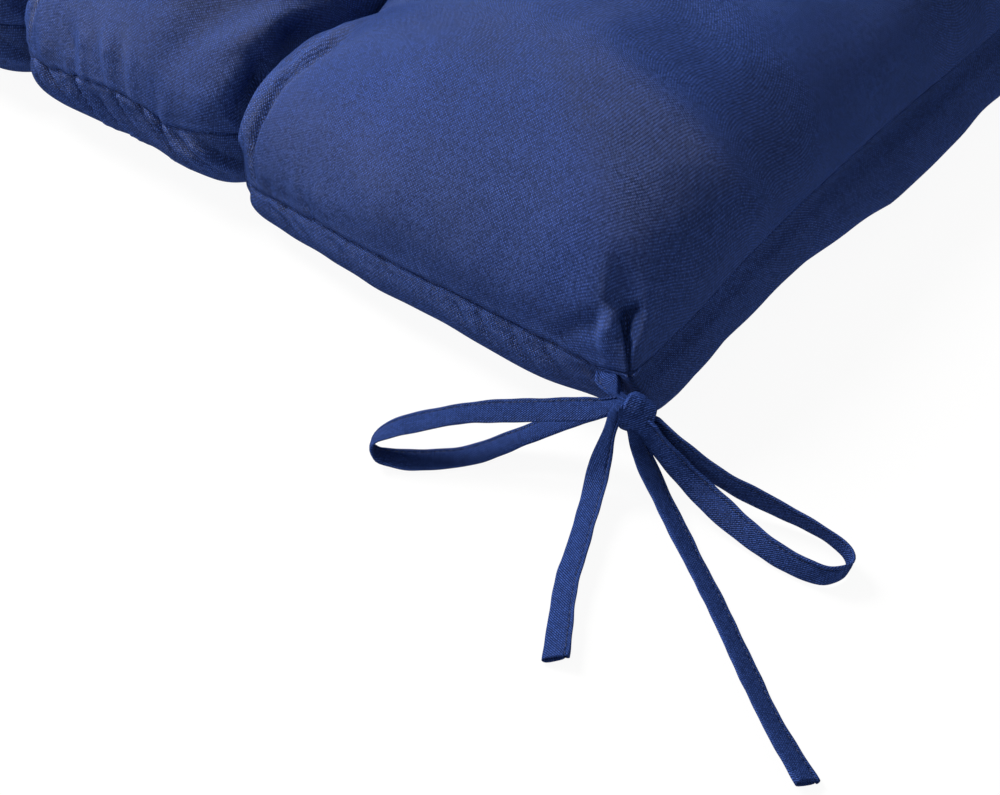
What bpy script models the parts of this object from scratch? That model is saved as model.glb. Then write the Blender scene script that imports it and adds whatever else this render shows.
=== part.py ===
"""Tufted bench cushion, lying on its back, with a bow of two cloth ties at each back corner.

Units are metres, +Z is up. X runs along the bench, +Y is the back edge that carries the ties.
The origin is on the rest surface, under the middle of the cushion.
"""
import math

import bmesh
import bpy
import numpy as np
from mathutils import Vector

# Cushion: overall size
LENGTH = 1.194               # 47 in, between the end seams
DEPTH = 0.470                # 18.5 in, between the front and back seams
FABRIC_COLOUR = (0.036, 0.056, 0.160, 1.0)
TIE_COLOUR = (0.026, 0.042, 0.130, 1.0)

# Cushion: tufts and the channels that they pull from the front edge to the back edge
CHANNELS = 5                 # tufts in each of the two rows
TUFT_PITCH = 0.1655          # between channels along the bench
TUFT_INSET = 0.112           # from the long seams to the tuft rows
TUFT_TOP = 0.052             # height of the top cloth at a tuft
TUFT_BOTTOM = 0.026          # height of the bottom cloth at a tuft
TUFT_REACH = 0.038           # how far a tuft pulls its channel down, along the channel
CHANNEL_MIDDLE = 0.086       # height of a channel's floor between the two rows
CHANNEL_OUTER = 0.078        # height of a channel's floor between a tuft and the seam
CHANNEL_UNDER = 0.012        # how far a channel lifts the bottom cloth away from its tufts
NOTCH_DEPTH = 0.016          # how far a channel draws the long seam in
NOTCH_WIDTH = 0.010
NOTCH_SHARPNESS = 1.4        # power of the notch's profile, 2 would be a bell
NOTCH_REACH = 0.070          # how far in from the seam the cloth follows it

# Cushion: puffs, from the end at -X to the end at +X
PUFF_CROWNS = (0.125, 0.118, 0.121, 0.117, 0.120, 0.124)

# Cushion: height of the seam above the rest surface
# distance from the corner along the long seam, height; up to the first channel
END_PUFF_SEAM = ((0.0, 0.045), (0.020, 0.037), (0.046, 0.038), (0.110, 0.037),
                 (0.200, 0.033), (0.240, 0.030), (0.256, 0.029), (0.266, 0.047))
# distance from the channel nearer the corner, height; the same for each inner puff
INNER_PUFF_SEAM = ((0.0, 0.047), (0.010, 0.049), (0.024, 0.047), (0.042, 0.043),
                   (0.057, 0.048), (0.080, 0.049), (0.110, 0.045), (0.133, 0.041),
                   (0.150, 0.042), (0.1655, 0.047))
# distance from the back corner along the short seam, height
SHORT_SEAM = ((0.0, 0.045), (0.020, 0.041), (0.060, 0.042), (0.100, 0.048),
              (0.150, 0.051), (0.235, 0.050), (0.300, 0.046), (0.360, 0.042), (0.470, 0.045))

# Cushion: rolls of the cloth in from the seams and out from the channels
TOP_LONG_ROLL = 0.090
TOP_END_ROLL = 0.120
BOTTOM_ROLL = 0.042
CHANNEL_ROLL_END_PUFF = 0.130
CHANNEL_FLATNESS = 1.3       # power of the puffs' flanks, 1 would be quarter-round
BOTTOM_CHANNEL_ROLL = 0.045
CORNER_FULLNESS = 3.0        # power that joins two rolls at a corner

# Cushion: how far the rolls swell out past their seams
TOP_SWELL = 0.003
BOTTOM_LONG_SWELL = 0.011
BOTTOM_INNER_SWELL = 0.005   # along the inner puffs
BOTTOM_CORNER_SWELL = 0.006
# distance from the back corner along the short seam, swell
BOTTOM_END_SWELL = ((0.0, 0.015), (0.050, 0.012), (0.150, 0.017), (0.220, 0.028),
                    (0.400, 0.027), (0.470, 0.019))
LONG_WAIST = 0.006           # the inner puffs' seam lies this far inside the end puffs'
CORNER_EAR = 0.003           # the sides pull in this far between the corners
EAR_SHARPNESS = 16           # power that keeps the ears close to the corners
CORNER_REACH = 0.050         # how far from a corner its own swell and seam height reach

# Cushion: the pinch in the top cloth at each corner
PINCH_DEPTH = 0.012
PINCH_AT = 0.022             # in from the corner
PINCH_LENGTH = 0.013
PINCH_WIDTH = 0.008

# Cushion: steps of the surface grid
LONG_ROLL_STEPS = 8
END_ROLL_STEPS = 9
CHANNEL_ROLL_STEPS = 6
MIDDLE_ROWS = 8
COLUMN_SPACE = 0.022         # widest space that is left between two columns
SEAM_MERGE = 0.0001          # the two panels' points on the seam are one

# Ties: a folded strip, and the knot that two of them make
STRIP_WIDTH = 0.0127         # half an inch
STRIP_THICKNESS = 0.0018
GATHERED_WIDTH = 0.006       # of a strip where it is sewn in or enters the knot
GATHER_LENGTH = 0.010
STRIP_STEP = 0.0055          # between cross-sections along a strip
KNOT_RADII = (0.0080, 0.0076, 0.0084)
KNOT_TURN = 38               # degrees, of the knot's long way from the bench towards the back
KNOT_SQUARENESS = 2.6        # power of its outline, 2 would be an ellipse
KNOT_SEGMENTS = 18
KNOT_RINGS = 12
GAP = 0.0005                 # between a strip's end and the knot

# Routes of the strips, in millimetres and degrees, from the point under the seam's corner.
# Columns: along (towards the middle of the bench), out (away from the back edge), up,
# side_turn and side_tilt (where the stitched edge points, as a turn from "along" to "out" and
# as an angle above the horizontal). A row at the knot gives the side where the strip leaves it.
KNOT_AT = (-7.0, 8.0, 35.0)
ROOT_UPPER = (
    (-0.6, 0.6, 45.6, 45, 0),
    (-1.8, 2.2, 44.6, 45, 0),
    (-3.2, 3.8, 43.4, 45, 0),
)
ROOT_LOWER = (
    (-0.7, 0.7, 42.6, 45, 0),
    (-1.2, 1.8, 41.6, 45, 0),
    (-1.8, 2.8, 40.6, 45, 0),
)
LOOP_LEFT = (
    (1.8, 11.5, 35.5, 128, -14),
    (9.2, 18.4, 34.0, 128, -16),
    (34.0, 33.0, 29.5, 128, -16),
    (58.2, 48.5, 25.0, 128, -5),
    (77.3, 64.0, 19.0, 128, -2),
    (84.5, 70.5, 16.0, 128, 4),
    (89.6, 75.0, 12.0, 128, 14),
    (91.0, 78.4, 8.0, 128, 24),
    (88.6, 78.6, 4.6, 128, 16),
    (83.5, 76.5, 2.8, 126, 6),
    (70.8, 68.3, 2.0, 130, -4),
    (52.6, 50.7, 3.0, 138, -2),
    (36.1, 30.4, 10.5, 142, 2),
    (16.0, 14.2, 24.0, 132, -4),
    (2.6, 9.0, 31.4, 128, -8),
)
LOOP_RIGHT = (
    (-15.4, 11.0, 33.0, 130, 62),
    (-25.6, 12.2, 25.4, 195, 56),
    (-48.3, 12.9, 13.4, 222, 36),
    (-70.9, 16.3, 8.6, 224, 48),
    (-94.6, 19.4, 7.0, 220, 68),
    (-113.4, 18.0, 6.8, 220, 80),
    (-121.0, 12.4, 6.8, 200, 78),
    (-122.6, 5.0, 6.8, 160, 74),
    (-116.0, -1.6, 6.8, 130, 74),
    (-100.0, -4.2, 7.4, 100, 76),
    (-78.2, -2.9, 9.8, 90, 84),
    (-56.6, 1.4, 15.0, 30, 84),
    (-34.7, 4.2, 23.4, 0, 74),
    (-16.4, 6.6, 32.0, -10, 66),
)
TAIL_LEFT = (
    (-4.2, 15.2, 39.6, 200, 40),
    (-3.4, 19.4, 33.0, 200, 38),
    (-4.6, 30.0, 13.6, 204, 34),
    (-9.0, 41.2, 6.6, 204, 32),
    (-20.3, 67.1, 4.6, 204, 30),
    (-29.5, 88.4, 4.2, 204, 28),
    (-50.1, 123.6, 3.6, 208, 24),
)
TAIL_RIGHT = (
    (-10.6, 14.6, 28.4, 205, -30),
    (-16.4, 17.4, 20.8, 215, -32),
    (-33.6, 24.2, 10.0, 230, -30),
    (-57.4, 37.6, 5.2, 236, -28),
    (-89.0, 59.0, 4.4, 236, -30),
    (-136.1, 93.2, 4.0, 234, -28),
    (-166.5, 111.6, 3.4, 234, -22),
)


def clear_scene():
    for found in list(bpy.data.objects):
        bpy.data.objects.remove(found, do_unlink=True)


def cloth_material(name, colour):
    material = bpy.data.materials.new(name)
    material.use_nodes = True
    shader = material.node_tree.nodes["Principled BSDF"]
    shader.inputs["Base Color"].default_value = colour
    shader.inputs["Roughness"].default_value = 0.85
    shader.inputs["Metallic"].default_value = 0.0
    material.diffuse_color = colour
    return material


def add_object(name, mesh, material, collection):
    made = bpy.data.objects.new(name, mesh)
    mesh.materials.append(material)
    mesh.shade_smooth()
    collection.objects.link(made)
    return made


# ---- cushion -------------------------------------------------------------------------------

def smooth_step(value):
    value = min(max(value, 0.0), 1.0)
    return value * value * (3.0 - 2.0 * value)


def bell(distance, width):
    return math.exp(-(distance / width) ** 2)


def from_table(table, value):
    """Second column of a table at a value of its first."""
    first, second = zip(*table)
    return float(np.interp(value, first, second))


def roll_height(distance, radius):
    """Height, from 0 to 1, of a quarter-round roll at a distance in from its foot."""
    across = 1.0 - min(max(distance, 0.0) / radius, 1.0)
    return math.sqrt(1.0 - across * across)


def roll_bulge(rise):
    """Outward swell of a roll: 0 at its foot and at its crown, 1 between them."""
    return 2.0 * rise * math.sqrt(max(1.0 - rise * rise, 0.0))


def roll_offsets(radius, steps):
    """Distances in from a roll's foot, at equal steps of angle."""
    return [radius * (1.0 - math.cos(math.pi / 2 * k / steps)) for k in range(steps + 1)]


def joined_rise(long_rise, end_rise):
    """Two rolls that meet at a corner: close to the lower of the two."""
    short = (1.0 - long_rise) ** CORNER_FULLNESS + (1.0 - end_rise) ** CORNER_FULLNESS
    return max(1.0 - short ** (1.0 / CORNER_FULLNESS), 0.0)


def channel_numbers():
    return [k - (CHANNELS - 1) / 2 for k in range(CHANNELS)]


def outer_channel():
    """X of the last channel, where the end puff begins."""
    return TUFT_PITCH * (CHANNELS - 1) / 2


def filled_in(offsets):
    """Distances with more put in between, wherever two are far apart."""
    full = [offsets[0]]
    for here in offsets[1:]:
        before = full[-1]
        parts = math.ceil((here - before) / COLUMN_SPACE)
        full += [before + (here - before) * k / parts for k in range(1, parts + 1)]
    return full


def grid_rows():
    """Distances in from the back seam, for the rows of both panels."""
    near = roll_offsets(TOP_LONG_ROLL, LONG_ROLL_STEPS)
    near += [(TOP_LONG_ROLL + TUFT_INSET) / 2, TUFT_INSET]
    middle = DEPTH - 2 * TUFT_INSET
    flat = [TUFT_INSET + middle * k / MIDDLE_ROWS for k in range(1, MIDDLE_ROWS)]
    return near + flat + [DEPTH - offset for offset in reversed(near)]


def grid_columns():
    """X of the columns of both panels, closer together at the seams and the channels."""
    foot = LENGTH / 2 - outer_channel()
    end = roll_offsets(TOP_END_ROLL, END_ROLL_STEPS)
    rolls = roll_offsets(CHANNEL_ROLL_END_PUFF, CHANNEL_ROLL_STEPS)
    end += [foot - offset for offset in reversed(rolls)]
    columns = [LENGTH / 2 - offset for offset in filled_in(end)]
    half = roll_offsets(TUFT_PITCH / 2, CHANNEL_ROLL_STEPS)
    for number in reversed(channel_numbers()[1:]):
        here = number * TUFT_PITCH
        columns += [here - offset for offset in half[1:]]
        columns += [here - TUFT_PITCH + offset for offset in reversed(half[:-1])]
    return columns + [-LENGTH / 2 + offset for offset in reversed(filled_in(end)[:-1])]


def channel_distance(x):
    return min(abs(x - n * TUFT_PITCH) for n in channel_numbers())


def in_end_puff(x):
    return abs(x) > outer_channel()


def inner_share(x):
    """0 at a corner, 1 along the inner puffs, rising over the inner half of an end puff."""
    into_puff = (LENGTH / 2 - abs(x)) / (LENGTH / 2 - outer_channel())
    return smooth_step(into_puff * 2 - 1)


def puff_crown(x):
    """Crown height of the puff that a column lies in."""
    edges = [n * TUFT_PITCH for n in channel_numbers()]
    return PUFF_CROWNS[sum(x > edge for edge in edges)]


def seam_height(x, y):
    """Height of the seam, from the nearest point of the outline."""
    if in_end_puff(x):
        long_seam = from_table(END_PUFF_SEAM, LENGTH / 2 - abs(x))
    else:
        long_seam = from_table(INNER_PUFF_SEAM, -abs(x) % TUFT_PITCH)
    short_seam = from_table(SHORT_SEAM, DEPTH / 2 - y)
    nearer_end = DEPTH / 2 - abs(y) - (LENGTH / 2 - abs(x))
    share = smooth_step(0.5 + nearer_end / (2 * CORNER_REACH))
    return long_seam + (short_seam - long_seam) * share


def channel_floor(y):
    """Height of the top cloth along the bottom of a channel, away from the seams."""
    from_row = abs(y) - (DEPTH / 2 - TUFT_INSET)
    outside = smooth_step(0.5 + from_row / (2 * TUFT_REACH))
    level = CHANNEL_MIDDLE + (CHANNEL_OUTER - CHANNEL_MIDDLE) * outside
    return level - (level - TUFT_TOP) * bell(from_row, TUFT_REACH)


def seam_inset(x):
    """How far the long seam is drawn in, at the channels and along the inner puffs."""
    notch = NOTCH_DEPTH * math.exp(-(channel_distance(x) / NOTCH_WIDTH) ** NOTCH_SHARPNESS)
    ear = CORNER_EAR * (1.0 - (abs(x) / (LENGTH / 2)) ** EAR_SHARPNESS)
    return notch + ear + LONG_WAIST * inner_share(x)


def corner_pinch(from_long, from_end):
    """How far the pinch at a corner draws the top cloth in, along a line from the corner."""
    along = (from_long + from_end) / math.sqrt(2)
    beside = (from_long - from_end) / math.sqrt(2)
    from_seam = smooth_step(min(from_long, from_end) / PINCH_WIDTH)
    deepest = bell(along - PINCH_AT, PINCH_LENGTH)
    return PINCH_DEPTH * bell(beside, PINCH_WIDTH) * from_seam * deepest


def top_height(x, y, seam, rise):
    crown = puff_crown(x)
    radius = CHANNEL_ROLL_END_PUFF if in_end_puff(x) else TUFT_PITCH / 2
    floor = (channel_floor(y) - seam) / (crown - seam)
    fill = floor + (1.0 - floor) * roll_height(channel_distance(x), radius) ** CHANNEL_FLATNESS
    return seam + (crown - seam) * rise * fill


def bottom_height(x, y, seam, rise, long_rise):
    from_row = abs(y) - (DEPTH / 2 - TUFT_INSET)
    lift = CHANNEL_UNDER + (TUFT_BOTTOM - CHANNEL_UNDER) * bell(from_row, TUFT_REACH)
    channel = 1.0 - roll_height(channel_distance(x), BOTTOM_CHANNEL_ROLL)
    return seam * (1.0 - rise) + lift * channel * long_rise


def bottom_swells(x, y):
    """How far the bottom panel's rolls swell out past the long and the short seams."""
    at_long = BOTTOM_LONG_SWELL + (BOTTOM_INNER_SWELL - BOTTOM_LONG_SWELL) * inner_share(x)
    at_corner = bell(LENGTH / 2 - abs(x), CORNER_REACH)
    at_long += (BOTTOM_CORNER_SWELL - BOTTOM_LONG_SWELL) * at_corner
    return at_long, from_table(BOTTOM_END_SWELL, DEPTH / 2 - y)


def cushion_point(x, offset, upper):
    """One point of the top or bottom panel.

    x is the column's place along the bench, offset is the row's distance in from the back seam.
    """
    y = DEPTH / 2 - offset
    from_long = DEPTH / 2 - abs(y)
    from_end = LENGTH / 2 - abs(x)
    long_rise = roll_height(from_long, TOP_LONG_ROLL if upper else BOTTOM_ROLL)
    end_rise = roll_height(from_end, TOP_END_ROLL if upper else BOTTOM_ROLL)
    rise = joined_rise(long_rise, end_rise)
    seam = seam_height(x, y)
    if upper:
        z = top_height(x, y, seam, rise) - corner_pinch(from_long, from_end)
        long_swell = end_swell = TOP_SWELL
    else:
        z = bottom_height(x, y, seam, rise, long_rise)
        long_swell, end_swell = bottom_swells(x, y)
    drawn_in = seam_inset(x) * math.exp(-from_long / NOTCH_REACH)
    drawn_in -= long_swell * roll_bulge(long_rise) * end_rise
    ear = CORNER_EAR * (1.0 - (abs(y) / (DEPTH / 2)) ** EAR_SHARPNESS)
    ear *= math.exp(-from_end / NOTCH_REACH)
    ear -= end_swell * roll_bulge(end_rise) * long_rise
    return Vector((x - math.copysign(1.0, x) * ear, y - math.copysign(1.0, y) * drawn_in, z))


def add_panel(mesh, upper):
    """One panel of the cushion: a grid, moved to the panel's shape."""
    columns = grid_columns()
    rows = grid_rows()
    made = bmesh.ops.create_grid(
        mesh, x_segments=len(columns) - 1, y_segments=len(rows) - 1, size=0.5)
    for vert in made["verts"]:
        i = round((0.5 - vert.co.x) * (len(columns) - 1))
        j = round((0.5 - vert.co.y) * (len(rows) - 1))
        vert.co = cushion_point(columns[i], rows[j], upper)
    if not upper:
        underside = {face for vert in made["verts"] for face in vert.link_faces}
        bmesh.ops.reverse_faces(mesh, faces=list(underside))


def cushion(material, collection):
    """Top and bottom panels, joined along the seam."""
    mesh = bmesh.new()
    add_panel(mesh, True)
    add_panel(mesh, False)
    bmesh.ops.remove_doubles(mesh, verts=mesh.verts, dist=SEAM_MERGE)
    made = bpy.data.meshes.new("cushion")
    mesh.to_mesh(made)
    mesh.free()
    add_object("cushion", made, material, collection)


# ---- ties ----------------------------------------------------------------------------------

def corner_point(values, side):
    """A point given in millimetres from the corner at -X (side -1) or +X (side 1)."""
    along, out, up = values[:3]
    return Vector((side * (LENGTH / 2 - along * 0.001), DEPTH / 2 + out * 0.001, up * 0.001))


def side_vector(turn, tilt, side):
    turn = math.radians(turn)
    tilt = math.radians(tilt)
    flat = math.cos(tilt)
    return Vector((-side * flat * math.cos(turn), flat * math.sin(turn), math.sin(tilt)))


def smooth_between(points, k, t):
    """Catmull-Rom curve between points k and k + 1."""
    a = points[max(k - 1, 0)]
    b = points[k]
    c = points[k + 1]
    d = points[min(k + 2, len(points) - 1)]
    return 0.5 * (2 * b + (c - a) * t + (2 * a - 5 * b + 4 * c - d) * t ** 2
                  + (3 * b - a - 3 * c + d) * t ** 3)


def knot_reach(direction, side):
    """Distance from the middle of the knot to its surface, a rounded barrel."""
    turn = math.radians(KNOT_TURN)
    long_way = Vector((-side * math.cos(turn), math.sin(turn), 0.0))
    short_way = Vector((side * math.sin(turn), math.cos(turn), 0.0))
    a, b, c = KNOT_RADII
    across = math.hypot(direction.dot(short_way) / b, direction.z / c)
    total = abs(direction.dot(long_way) / a) ** KNOT_SQUARENESS + across ** KNOT_SQUARENESS
    return total ** (-1.0 / KNOT_SQUARENESS)


def at_knot(row, side):
    """Point just off the knot's surface, on the side that a route's row gives."""
    middle = corner_point(KNOT_AT, side)
    direction = (corner_point(row, side) - middle).normalized()
    return middle + direction * (knot_reach(direction, side) + GAP)


def strip_frames(route, side, knot_start, knot_end):
    """Centre, side and face directions of a strip's cross-sections along its route."""
    centres = [corner_point(row, side) for row in route]
    sides = [side_vector(row[3], row[4], side) for row in route]
    if knot_start:
        centres[0] = at_knot(route[0], side)
    if knot_end:
        centres[-1] = at_knot(route[-1], side)
    samples = []
    for k in range(len(route) - 1):
        steps = max(round((centres[k + 1] - centres[k]).length / STRIP_STEP), 1)
        for n in range(steps):
            samples.append((smooth_between(centres, k, n / steps),
                            smooth_between(sides, k, n / steps)))
    samples.append((centres[-1], sides[-1]))
    points = [centre for centre, across in samples]
    middle = corner_point(KNOT_AT, side)
    points.insert(0, middle if knot_start else points[0])
    points.append(middle if knot_end else points[-1])
    frames = []
    for k, (centre, across) in enumerate(samples):
        ahead = (points[k + 2] - points[k]).normalized()
        if k == 0 and knot_start:
            ahead = (centre - middle).normalized()
        if k == len(samples) - 1 and knot_end:
            ahead = (middle - centre).normalized()
        across = (across - ahead * across.dot(ahead)).normalized()
        frames.append((centre, across, ahead.cross(across)))
    return frames


def strip_widths(frames, gather_end):
    """Width at each cross-section, narrower where the strip is sewn in or enters the knot."""
    travelled = [0.0]
    for k in range(1, len(frames)):
        travelled.append(travelled[-1] + (frames[k][0] - frames[k - 1][0]).length)
    widths = []
    for distance in travelled:
        if gather_end:
            distance = min(distance, travelled[-1] - distance)
        full = smooth_step(distance / GATHER_LENGTH)
        widths.append(GATHERED_WIDTH + (STRIP_WIDTH - GATHERED_WIDTH) * full)
    return widths


def strip(name, route, side, material, collection, knot_start=True, knot_end=False):
    """A flat folded strip with thin edges, lofted along its route."""
    frames = strip_frames(route, side, knot_start, knot_end)
    widths = strip_widths(frames, knot_end)
    mesh = bmesh.new()
    rings = []
    for (centre, across, face), width in zip(frames, widths):
        edge = across * (width / 2)
        shoulder = across * (width / 2 - STRIP_THICKNESS / 2)
        half = face * (STRIP_THICKNESS / 2)
        outline = (edge, shoulder + half, -shoulder + half, -edge, -shoulder - half, shoulder - half)
        rings.append([mesh.verts.new(centre + corner) for corner in outline])
    for ring, following in zip(rings, rings[1:]):
        for k in range(len(ring)):
            after = (k + 1) % len(ring)
            mesh.faces.new((ring[k], ring[after], following[after], following[k]))
    mesh.faces.new(rings[0])
    mesh.faces.new(rings[-1])
    bmesh.ops.recalc_face_normals(mesh, faces=mesh.faces)
    made = bpy.data.meshes.new(name)
    mesh.to_mesh(made)
    mesh.free()
    add_object(name, made, material, collection)


def knot(name, side, material, collection):
    """The knot's lump, a rounded barrel that lies between the two loops."""
    mesh = bmesh.new()
    made = bmesh.ops.create_uvsphere(
        mesh, u_segments=KNOT_SEGMENTS, v_segments=KNOT_RINGS, radius=1.0)
    middle = corner_point(KNOT_AT, side)
    for vert in made["verts"]:
        direction = vert.co.normalized()
        vert.co = middle + direction * knot_reach(direction, side)
    lump = bpy.data.meshes.new(name)
    mesh.to_mesh(lump)
    mesh.free()
    add_object(name, lump, material, collection)


def bow(prefix, side, material, collection):
    strip(prefix + "_root_upper", ROOT_UPPER, side, material, collection, False, True)
    strip(prefix + "_root_lower", ROOT_LOWER, side, material, collection, False, True)
    strip(prefix + "_loop_left", LOOP_LEFT, side, material, collection, True, True)
    strip(prefix + "_loop_right", LOOP_RIGHT, side, material, collection, True, True)
    strip(prefix + "_tail_left", TAIL_LEFT, side, material, collection)
    strip(prefix + "_tail_right", TAIL_RIGHT, side, material, collection)
    knot(prefix + "_knot", side, material, collection)


def build():
    clear_scene()
    collection = bpy.data.collections.new("bench_cushion")
    bpy.context.scene.collection.children.link(collection)
    fabric = cloth_material("fabric", FABRIC_COLOUR)
    tie_fabric = cloth_material("tie_fabric", TIE_COLOUR)
    cushion(fabric, collection)
    bow("tie_a", -1, tie_fabric, collection)
    bow("tie_b", 1, tie_fabric, collection)


build()
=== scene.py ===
import math
import bmesh
import bpy
import numpy as np
from mathutils import Matrix, Vector


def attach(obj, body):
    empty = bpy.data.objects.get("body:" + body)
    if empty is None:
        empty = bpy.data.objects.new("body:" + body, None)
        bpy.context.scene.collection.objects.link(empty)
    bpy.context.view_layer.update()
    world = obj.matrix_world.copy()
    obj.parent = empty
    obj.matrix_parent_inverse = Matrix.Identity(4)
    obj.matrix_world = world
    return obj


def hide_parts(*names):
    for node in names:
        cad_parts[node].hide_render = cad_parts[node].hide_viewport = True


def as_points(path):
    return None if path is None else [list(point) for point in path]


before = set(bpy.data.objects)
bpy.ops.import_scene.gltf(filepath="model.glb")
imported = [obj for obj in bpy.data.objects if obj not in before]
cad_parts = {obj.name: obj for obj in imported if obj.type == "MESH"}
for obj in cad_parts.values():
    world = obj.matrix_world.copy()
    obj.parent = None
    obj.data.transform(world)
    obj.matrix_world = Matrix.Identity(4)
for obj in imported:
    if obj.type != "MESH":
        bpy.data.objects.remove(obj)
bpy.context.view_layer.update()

scene = bpy.context.scene

# bench size and the corner that the camera looks at, metres
benchLength = 1.194
benchDepth = 0.470
cornerX = -benchLength / 2
cornerY = benchDepth / 2

# camera, from the photo: it looks down on the back left corner
camera = {
    "frame": (1000.0, 795.0),  # px
    "focal": 1900.0,  # px
    "corner": (632.0, 378.0),  # px, where the seam's corner shows
    "cornerZ": 0.045,
    "azimuth": 218.0,
    "elevation": 44.0,
    "distance": 0.864,
    "sensor": 36.0,
    "nearest": 0.01,
}


def addCamera(c):
    a = math.radians(c["azimuth"])
    e = math.radians(c["elevation"])
    right = Vector((math.cos(a), math.sin(a), 0))
    back = Vector((math.sin(a) * math.cos(e), -math.cos(a) * math.cos(e), math.sin(e)))
    up = back.cross(right)
    wide, high = c["frame"]
    across = (c["corner"][0] - wide / 2) / c["focal"] * c["distance"]
    above = (high / 2 - c["corner"][1]) / c["focal"] * c["distance"]
    corner = Vector((cornerX, cornerY, c["cornerZ"]))
    place = corner - right * across - up * above + back * c["distance"]
    data = bpy.data.cameras.new("camera")
    data.lens = c["focal"] * c["sensor"] / wide
    data.sensor_width = c["sensor"]
    data.clip_start = c["nearest"]
    made = bpy.data.objects.new("camera", data)
    turn = Matrix((right, up, back)).transposed().to_4x4()
    made.matrix_world = Matrix.Translation(place) @ turn
    scene.collection.objects.link(made)
    scene.camera = made


addCamera(camera)
print("camera is in")


def nodeMaker(tree):
    # adds a node whose inputs take a value or another node's output
    def add(kind, ins=(), **props):
        n = tree.nodes.new(kind)
        for k, v in props.items():
            setattr(n, k, v)
        for k, v in dict(ins).items():
            if isinstance(v, bpy.types.NodeSocket):
                tree.links.new(v, n.inputs[k])
            else:
                n.inputs[k].default_value = v
        return n

    return add


def newMaterial(name):
    m = bpy.data.materials.new(name)
    m.use_nodes = True
    tree = m.node_tree
    shader = tree.nodes["Principled BSDF"]
    add = nodeMaker(tree)

    def calc(op, *values):
        return add("ShaderNodeMath", dict(enumerate(values)), operation=op).outputs[0]

    def vector(op, first, second):
        ins = {0: first, "Scale" if op == "SCALE" else 1: second}
        return add("ShaderNodeVectorMath", ins, operation=op).outputs[0]

    def feed(**values):
        # the shader's own inputs, spaces as underscores
        for k, v in values.items():
            socket = shader.inputs[k.replace("_", " ")]
            if isinstance(v, bpy.types.NodeSocket):
                tree.links.new(v, socket)
            else:
                socket.default_value = v

    return m, add, calc, vector, feed


# woven cloth: threads follow the piece's UV, which is in metres
fabricLook = {
    "colour": (0.0160, 0.0395, 0.1640),
    "fleckAndGlint": (0.0120, 0.0145, 0.0210),  # paler yarn, and painted glints, on top of each crossing
    "pitch": 0.00084,  # one thread
    "checker": 0.60,  # threads across catch less light than threads along
    "turn": 0.0,
    "ribs": 0.0,  # 1 shows one family of threads only
    "uneven": 0.75,  # how much one crossing differs from the next
    "relief": 0.00030,
    "contrast": 1.65,
    "roughness": 0.42,
    "bend": 1.28,  # index of refraction, for the soft shine on top
}
# the bench's cloth once more, with colour and flecks darker by about a quarter as painted shade on
# the ties
tieShadedLook = {
    "colour": (0.0122, 0.0295, 0.1220),
    "fleckAndGlint": (0.0090, 0.0110, 0.0170),
    "pitch": 0.00090,
    "checker": 0.30,
    "turn": 42.0,  # cut on the bias
    "ribs": 0.62,
    "uneven": 0.60,
    "relief": 0.00030,
    "contrast": 1.60,
    "roughness": 0.42,
    "bend": 1.12,
}
# what both cloths share
yarnLook = {
    "drift": (90.0, 2.0, 0.0008),  # threads wander a little: scale, detail, how far
    "dip": 0.45,  # how far a thread sinks before it goes under
    "middle": 0.52,  # the height at which contrast changes nothing
    "streaks": (1050.0, 42.0),  # yarns differ: thin and long streaks, both ways
    "streakShade": 0.30,
    "streakRelief": 0.12,
    "cloud": (16.0, 4.0, 0.24),  # broad, faint cloudiness: scale, detail, depth
    "wearAndShadeDepth": 0.35,  # how much the colour follows the attribute: paler with real wear beside the seams, and painted shade, paler on folds and darker in creases and grooves
    "darkest": 0.05,
    "glintPower": 2.5,
    "glintChecker": (1.2, 0.5),
    "glintUneven": (1.2, 0.4),
    "glintWearAndShade": (0.5, 1.0),
    "polish": (-0.10, 0.05),  # thread tops are smoother
    "reliefUneven": (0.6, 0.7),
}


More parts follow.
